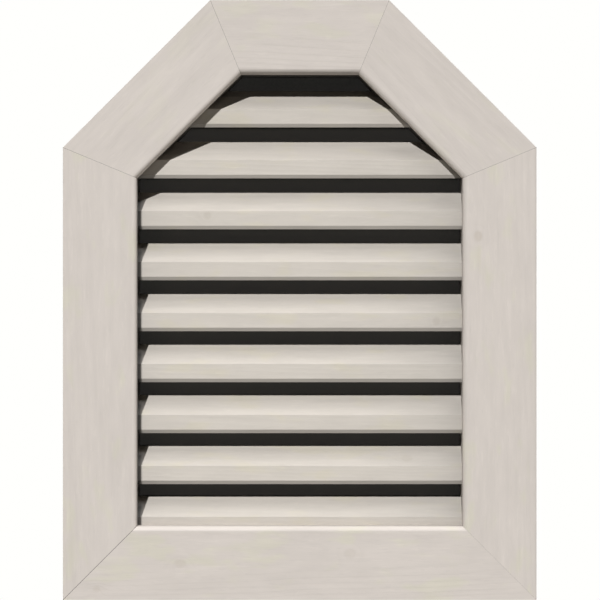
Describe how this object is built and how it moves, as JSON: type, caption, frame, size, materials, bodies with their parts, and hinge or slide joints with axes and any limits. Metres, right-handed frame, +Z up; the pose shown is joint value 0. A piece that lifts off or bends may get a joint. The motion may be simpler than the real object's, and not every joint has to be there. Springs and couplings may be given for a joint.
{
  "type": "gable vent",
  "caption": "Wooden gable vent with a mitred flat trim, sloping shoulders, fixed angled louvre slats and a shallow box with a dark closed back.",
  "frame": {"origin": "middle of the bottom edge of the trim's back face, which lies on the wall", "axes": "+X to the right seen from the front, +Y into the wall, +Z up"},
  "size_m": [0.5716, 0.0635, 0.7239],
  "materials": {
    "primed_trim": "smooth pine boards under a matte light tan primer",
    "primed_slats": "smooth pine slats under a matte light tan primer",
    "primed_box": "pine boards under a thinner coat of the same primer",
    "black_board": "hardboard painted matte black"
  },
  "bodies": {
    "root": {"trim_bottom": "primed_trim", "trim_right": "primed_trim", "trim_right_slope": "primed_trim", "trim_top": "primed_trim", "trim_left_slope": "primed_trim", "trim_left": "primed_trim", "sill": "primed_box", "jamb_right": "primed_box", "jamb_right_slope": "primed_box", "jamb_head": "primed_box", "jamb_left_slope": "primed_box", "jamb_left": "primed_box", "louvre_1": "primed_slats", "louvre_2": "primed_slats", "louvre_3": "primed_slats", "louvre_4": "primed_slats", "louvre_5": "primed_slats", "louvre_6": "primed_slats", "louvre_7": "primed_slats", "louvre_8": "primed_slats", "louvre_9": "primed_slats", "backing_board": "black_board"}
  },
  "joints": []
}
